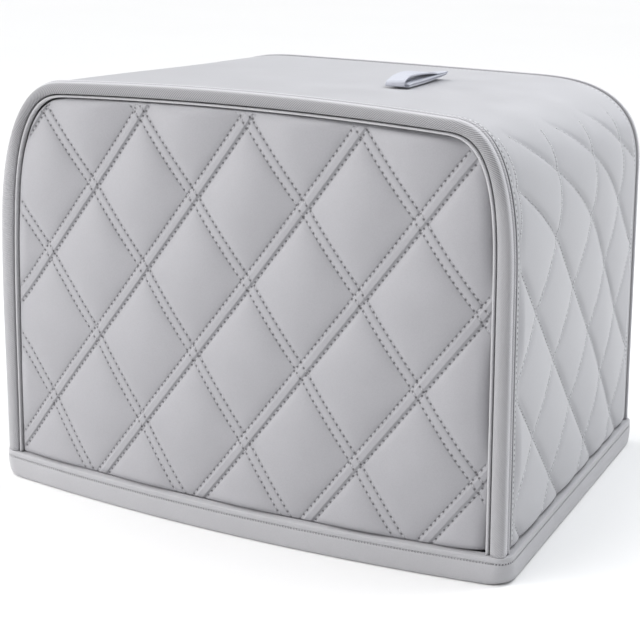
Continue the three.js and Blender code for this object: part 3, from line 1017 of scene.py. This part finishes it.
def gusset_threads(name, material):
    centres = []
    normals = []
    for side in (-1, 1):
        for family in (1, -1):
            y, s = seam_rows(SIDE_LATTICE, family, 0.0, SIDE_REACH)
            y = side_place(y, s)
            keep = (NEAREST - np.abs(y) > EDGE_ROW + 1).all(1)
            keep &= (s > CUT + 2.5).all(1) & (s < SHOULDER_ROW + 20).all(1)
            found, out, fade = gusset_stitches(y[keep], s[keep], side)
            shown = (fade > 0.25).all(1)
            centres.append(found[shown])
            normals.append(out[shown])
        for end in (-1, 1):
            y_row = end * (NEAREST - EDGE_ROW)
            total = section_at(depth_share(y_row))[0][-1]
            stitches = np.arange(math.ceil((CUT + 2) / EDGE_STITCH), int(total / EDGE_STITCH))
            s = (stitches[:, None] + STITCH_STATIONS) * EDGE_STITCH
            found, out, _ = gusset_stitches(np.full(s.shape, y_row), s, side, EDGE_SUNK)
            centres.append(found)
            normals.append(out)
    centres, normals = np.concatenate(centres), np.concatenate(normals)
    return thread_piece(name, centres, normals, SIDE_THREAD, material, sides=4)


# Trims

# Control points of the sections: inset from the outline, and depth
BINDING_CONTROL = [
    (5.5, -0.1), (4.95, -1.1), (3.6, -1.75), (2.1, -1.7), (0.9, -1.1), (0.15, -0.1), (-0.1, 1.2),
    (0.0, 2.6), (0.35, 3.2), (-0.5, 3.65), (-0.5, 4.2), (0.3, 4.5), (1.4, 4.7), (2.9, 4.6), (5.5, 2.6),
]
PIPING_CONTROL = [
    (6.05, 0.9), (6.1, -0.2), (6.4, -0.7), (6.85, -0.7), (7.15, -0.2), (7.2, 0.9), (7.1, 2.2), (6.15, 2.2),
]
SECTION_STEPS = 4  # between two control points of a section
TRIM_STEPS = (70, 70, 60)  # mesh steps up a side, round a corner and along half the top


def smooth_ring(control, steps):
    """A closed curve through control points."""
    c = np.array(control)
    before, after, far = np.roll(c, 1, 0), np.roll(c, -1, 0), np.roll(c, -2, 0)
    rows = []
    for t in np.arange(steps) / steps:
        rows.append(
            0.5 * (2 * c + (after - before) * t + (2 * before - 5 * c + 4 * after - far) * t**2
                   + (3 * c - before - 3 * after + far) * t**3)
        )
    return np.stack(rows, 1).reshape(-1, 2)


def trim_piece(name, face, control, material):
    """A trim swept round a face's outline."""
    section = smooth_ring(control, SECTION_STEPS)
    lines = []
    for inset, depth in section:
        p, q = outline_stations(face, inset, *TRIM_STEPS)
        lines.append(place(face, p, q, depth))
    grid = np.stack(lines, 1)
    stations, around, _ = grid.shape
    faces = tube_faces(stations, around)
    if face["out"] < 0:
        faces = [f[::-1] for f in faces]
    values = {
        "along": np.repeat(running_length(grid.mean(1)), around),
        "around": np.tile(running_length(section), stations),
        # where the painted highlight on the tape's lip lies
        "lip_highlight": np.tile(smooth(-section[:, 0], -0.8, 0.45), stations),
        "top": smooth(grid[..., 2].ravel(), HEIGHT - 48, HEIGHT - 14),
    }
    return new_piece(name, grid.reshape(-1, 3), faces, material, values)


# Hem band

# Control points of the section: out from the wall, height, and radius of the floor plan's corners there
HEM_CONTROL = [
    (-2.6, 0.4, 10), (-1.6, 0.0, 12), (0.9, 0.0, 12), (2.0, 0.6, 10), (2.5, 2.0, 8), (2.65, 4.5, 7),
    (2.6, 7.5, 6), (2.4, 10.2, 5.5), (2.1, 11.3, 5.2), (2.15, 12.4, 5), (2.1, 13.6, 5), (1.85, 14.2, 5),
    (1.2, 14.42, 5), (0.0, 14.42, 5), (-1.6, 14.3, 5), (-2.8, 13.9, 5), (-3.0, 7.0, 8),
]
HEM_ROW = 11.3  # height of the stitch row
HEM_STITCH = 1.5
HEM_ROW_CORNER = 5.2  # radius of the row's corners
HEM_ARCH = np.array([-0.15, 0.12, 0.12, -0.15])
PLAN_STEPS = {"side": 80, "face": 110, "corner": 12}


def plan_stations(radius):
    """Stations round the floor plan: place on the wall and the way out."""
    x, y = HALF_FOOT - radius, DEPTH / 2 - radius
    rows = []
    for start, centre, kind in (
            (-90, (x, -y), "side"), (0, (x, y), "face"), (90, (-x, y), "side"), (180, (-x, -y), "face")):
        angle = np.radians(start + 90 * np.arange(PLAN_STEPS["corner"]) / PLAN_STEPS["corner"])
        c, s = np.cos(angle), np.sin(angle)
        rows.append(np.stack([centre[0] + radius * c, centre[1] + radius * s, c, s], -1))
        turned = math.radians(start + 90)
        out = np.array([round(math.cos(turned)), round(math.sin(turned))])
        here = np.array(centre) + radius * out
        ahead = np.array([-out[1], out[0]])
        length = 2 * (y if out[0] else x)
        t = np.arange(PLAN_STEPS[kind]) / PLAN_STEPS[kind] * length
        line = here + ahead * t[:, None]
        rows.append(np.concatenate([line, np.tile(out, (len(t), 1))], 1))
    return np.concatenate(rows)


def hem_points(out, z, radius):
    """A line round the hem at a height and a distance out from the wall, and its way out."""
    x, y, nx, ny = plan_stations(radius).T
    middle = 1 - (x / HALF_FOOT) ** 2
    bow = np.where(y < 0, -FRONT["bow_low"], BACK["bow_low"]) * middle
    share = np.clip(np.abs(y) / (DEPTH / 4), 0, 1)
    ring = np.stack([x - SHIFT[0] + out * nx, y + bow * share + out * ny, np.full_like(x, z)], -1)
    return ring + SHIFT, np.stack([nx, ny, 0 * nx], -1)


def hem_piece(name, material):
    control = np.array(HEM_CONTROL)
    section = smooth_ring(control[:, :2], SECTION_STEPS)
    radii = smooth_ring(control[:, [2, 2]], SECTION_STEPS)[:, 0]
    section[:, 1] = np.maximum(section[:, 1], 0.0)
    rings = [hem_points(out, z, radius)[0] for (out, z), radius in zip(section, radii)]
    grid = np.stack(rings, 1)
    stations, around, _ = grid.shape
    along = running_length(hem_points(2.0, HEM_ROW, HEM_ROW_CORNER)[0])
    faces = grid_faces(stations, around, around=True, ring=True)[:, [0, 3, 2, 1]]
    heights = np.abs(section[:, 1] - HEM_ROW)
    outside = (section[:, 0] > 1.0).astype(float)
    values = {
        "height": np.tile(heights, stations),
        "along": np.repeat(along, around),
        "sewn": np.tile(outside, stations),
    }
    return new_piece(name, grid.reshape(-1, 3), faces, material, values)


def hem_threads(name, material):
    path, way_out = hem_points(2.1, HEM_ROW, HEM_ROW_CORNER)
    path = np.concatenate([path, path[:1]])
    way_out = np.concatenate([way_out, way_out[:1]])
    along = running_length(path)
    at = (np.arange(int(along[-1] / HEM_STITCH))[:, None] + lerp(0.5, STITCH_STATIONS, 0.75)) * HEM_STITCH
    centres = np.stack([np.interp(at, along, path[:, k]) for k in range(3)], -1)
    normals = np.stack([np.interp(at, along, way_out[:, k]) for k in range(3)], -1)
    centres = centres + normals * HEM_ARCH[None, :, None]
    return thread_piece(name, centres, normals, HEM_THREAD, material, sides=4)


# Pull loop

LOOP = {
    "at": (46.0, -29.5, 217.9), "turn": 1.7, "slope": -2.2,
    "width": 10.5, "length": 60.0, "ribbon": 1.1, "gap": 2.5,
}
LOOP_START = 0.035  # shares of the loop's length
LOOP_TIP = 0.97
LOOP_BACK_END = 0.04
# How high each edge's tip is, where its strands meet, and how soon they part
LOOP_EDGES = {
    "near": {"tip_lift": 2.2, "closed": 0.75, "power": 0.55},
    "far": {"tip_lift": 0.9, "closed": 0.68, "power": 1.1},
}
UPPER_ASIDE = -0.7  # how far the strands have slipped sideways at the sewn end
LOWER_ASIDE = 1.0


def loop_thickness(t):
    """Thickness of one layer, pressed flatter at both ends."""
    return LOOP["ribbon"] * (0.75 + 0.25 * smooth(t, 0, 0.15) - 0.4 * smooth(t, 0.6, 1.0))


def loop_under(t, edge):
    """Underside of the lower strand along the loop."""
    return edge["tip_lift"] * t**2.2


def loop_gap(t, edge):
    """How far the strands stand apart. The loop opens soon on one side and later on the other."""
    return LOOP["gap"] * np.sin(math.pi * np.clip(t / edge["closed"], 0, 1) ** edge["power"]) ** 0.75


def ribbon_strip(name, near, far, thickness, aside, material):
    """A ribbon with rounded edges between two side lines, given as (along, up) for each edge."""
    half = LOOP["width"] / 2
    edge = np.linspace(-math.pi / 2, math.pi / 2, 7)
    rim = half - 0.4 + 0.4 * np.cos(edge)
    across = np.concatenate([rim, [half / 3, -half / 3], -rim[::-1], [-half / 3, half / 3]])
    lift = np.concatenate([np.sin(edge), [1, 1], np.sin(edge)[::-1], [-1, -1]]) * thickness[:, None] / 2
    share = ((across / half + 1) / 2)[None, :, None]
    centre = lerp(far[:, None], near[:, None], share)
    tangent = np.gradient(centre, axis=0)
    tangent /= np.linalg.norm(tangent, axis=-1, keepdims=True)
    ahead = centre[..., 0] - tangent[..., 1] * lift
    high = centre[..., 1] + tangent[..., 0] * lift
    points = np.stack([across + aside[:, None], ahead, high], -1)
    turn = Matrix.Rotation(math.radians(LOOP["turn"]), 3, "Z")
    turn = turn @ Matrix.Rotation(math.radians(LOOP["slope"]), 3, "X")
    stations, around = ahead.shape
    points = points.reshape(-1, 3) @ np.array(turn).T + np.array(LOOP["at"]) + SHIFT
    values = {"along": np.repeat(running_length(near), around)}
    return new_piece(name, points, tube_faces(stations, around), material, values)


def loop_line(edge):
    """The ribbon's middle line on one side: out below, round the tip, back above, and down at the end."""
    length = LOOP["length"]
    t = np.linspace(LOOP_START, LOOP_TIP, 60)
    out = np.stack([t * length, loop_under(t, edge) + loop_thickness(t) * 1.5], -1)
    back_t = np.linspace(LOOP_TIP, LOOP_BACK_END, 90)
    back_up = loop_under(back_t, edge) + loop_thickness(back_t) * 2.55 + loop_gap(back_t, edge)
    back = np.stack([back_t * length, back_up], -1)
    angle = np.linspace(-math.pi / 2, math.pi / 2, 9)[1:-1]
    middle = (out[-1] + back[0]) / 2
    rise = (back[0, 1] - out[-1, 1]) / 2
    tip = np.stack([middle[0] + 0.7 * np.cos(angle), middle[1] + rise * np.sin(angle)], -1)
    down = np.linspace(0, math.pi / 2, 10)[1:]
    lower = lerp(loop_thickness(0) / 2, back[-1, 1], np.cos(down))
    end = np.stack([back[-1, 0] * (1 - np.sin(down)), lower], -1)
    thickness = np.concatenate([
        loop_thickness(t), np.full(len(tip), loop_thickness(1.0)),
        loop_thickness(back_t), np.full(len(end), loop_thickness(0.0)),
    ])
    return np.concatenate([out, tip, back, end]), thickness


def pull_loop(name, material):
    """The loop itself, with its strands a little slipped past each other."""
    near, thickness = loop_line(LOOP_EDGES["near"])
    far, _ = loop_line(LOOP_EDGES["far"])
    path = np.linspace(0, 1, len(near))
    aside = lerp(LOWER_ASIDE * (1 - path), UPPER_ASIDE, smooth(path, 0.4, 1.0))
    return ribbon_strip(name, near, far, thickness, aside, material)


def loop_base(name, material):
    """The ribbon's lowest layer, flat on the cover's top."""
    t = np.linspace(LOOP_START, LOOP_TIP, 50)
    near, far = (
        np.stack([t * LOOP["length"], loop_under(t, LOOP_EDGES[side]) + loop_thickness(t) / 2], -1)
        for side in ("near", "far")
    )
    return ribbon_strip(name, near, far, loop_thickness(t) * 0.94, LOWER_ASIDE * (1 - t), material)


# Build every piece

thread = thread_material("sewing_thread", THREAD_GREY)
side_thread = thread_material("side_thread", SIDE_THREAD_GREY)
quilted = face_cloth()
side_satin = side_cloth()
tape = twill_tape()
piping = piping_cloth()
hem_tape = hem_cloth()
ribbon = ribbon_cloth()

# How each piece is made, the node that it stands for, if any, and its material slot
PIECES = {
    "front_quilting": (quilted_face, (FRONT, quilted), "front_panel", "quilted_cloth"),
    "back_quilting": (quilted_face, (BACK, quilted), "back_panel", "quilted_cloth"),
    "gusset_cloth": (gusset_piece, (side_satin,), "gusset", "gusset_cloth"),
    "front_tape": (trim_piece, (FRONT, BINDING_CONTROL, tape), "front_binding", "binding_tape"),
    "back_tape": (trim_piece, (BACK, BINDING_CONTROL, tape), "back_binding", "binding_tape"),
    "front_bead": (trim_piece, (FRONT, PIPING_CONTROL, piping), "front_piping", "piping_cloth"),
    "back_bead": (trim_piece, (BACK, PIPING_CONTROL, piping), "back_piping", "piping_cloth"),
    "hem_fold": (hem_piece, (hem_tape,), "hem_band", "hem_cloth"),
    "ribbon_loop": (pull_loop, (ribbon,), "pull_loop", "ribbon"),
    "ribbon_base": (loop_base, (ribbon,), None, "ribbon"),
    "front_threads": (face_threads, (FRONT, thread), None, "quilted_cloth"),
    "back_threads": (face_threads, (BACK, thread), None, "quilted_cloth"),
    "gusset_threads": (gusset_threads, (side_thread,), None, "gusset_cloth"),
    "hem_threads": (hem_threads, (thread,), None, "hem_cloth"),
}
for name, (make, made_from, node, slot) in PIECES.items():
    piece = make(name, *made_from)
    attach(piece, "root")
    if node:
        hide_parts(node)


# Floor, light and camera

FLOOR_TONES = (0.81, 0.83)
FLOOR_HALF = 9000.0


def pale_floor():
    nodes = Nodes("pale_floor")
    nodes.set(Roughness=0.9)
    dark, pale = ((tone, tone, tone, 1) for tone in FLOOR_TONES)
    nodes.put(nodes.shader.inputs["Base Color"], nodes.mix(nodes.noise(3, 2), dark, pale))
    a = FLOOR_HALF
    corners = [(-a, -a, 0), (a, -a, 0), (a, a, 0), (-a, a, 0)]
    return new_piece("floor", corners, [(0, 1, 2, 3)], nodes.material)


def new_light(name, kind, location, towards, power, colour):
    """A light at a place, shining in a direction."""
    data = bpy.data.lights.new(name, kind)
    data.energy = power
    data.color = colour
    light = new_object(name, data)
    light.location = location
    light.rotation_mode = "QUATERNION"
    light.rotation_quaternion = towards.to_track_quat("-Z", "Y")
    return data


def soft_sun(name, direction, spread, power, colour):
    """A wide, even light from one direction, like a big soft box."""
    data = new_light(name, "SUN", direction, -Vector(direction), power, colour)
    data.angle = math.radians(spread)


def soft_disk(name, location, aim, size, power, colour):
    """A round soft box near the object."""
    data = new_light(name, "AREA", location, Vector(aim) - Vector(location), power, colour)
    data.shape = "DISK"
    data.size = size


def pale_world():
    world = bpy.data.worlds.new("studio")
    world.use_nodes = True
    background = world.node_tree.nodes["Background"]
    background.inputs["Color"].default_value = (0.97, 0.98, 1.0, 1)
    background.inputs["Strength"].default_value = 0.32
    return world


pale_floor()
bpy.context.scene.world = pale_world()
bpy.context.scene.view_settings.view_transform = "Standard"
soft_sun("key", (-0.52, -0.24, 0.82), 60, 2.9, (1.0, 0.995, 0.99))
soft_sun("side", (0.6, 0.5, 0.62), 50, 0.8, (0.93, 0.97, 1.0))
soft_disk("left", (-0.72, -0.72, 0.27), (0.0, -0.1, 0.12), 0.4, 3.3, (1.0, 0.995, 0.99))
soft_disk("shoulder", (0.34, 0.3, 0.88), (0.12, 0.0, 0.16), 0.45, 4.8, (0.97, 0.985, 1.0))

FRAME_PIXELS = 640
FOCAL_PIXELS = 1503.69
SENSOR = 36.0
CAMERA_AT = Vector((0.34815, -0.7174, 0.3264))
CAMERA_RIGHT = Vector((0.8948, 0.4462, 0.0150)).normalized()
CAMERA_BACK = Vector((0.4227, -0.8576, 0.2930)).normalized()


def new_camera():
    data = bpy.data.cameras.new("camera")
    data.sensor_width = SENSOR
    data.lens = FOCAL_PIXELS * SENSOR / FRAME_PIXELS
    camera = new_object("camera", data)
    up = CAMERA_BACK.cross(CAMERA_RIGHT).normalized()
    right = up.cross(CAMERA_BACK).normalized()
    camera.rotation_mode = "QUATERNION"
    camera.rotation_quaternion = Matrix((right, up, CAMERA_BACK)).transposed().to_quaternion()
    camera.location = CAMERA_AT
    return camera


bpy.context.scene.camera = new_camera()
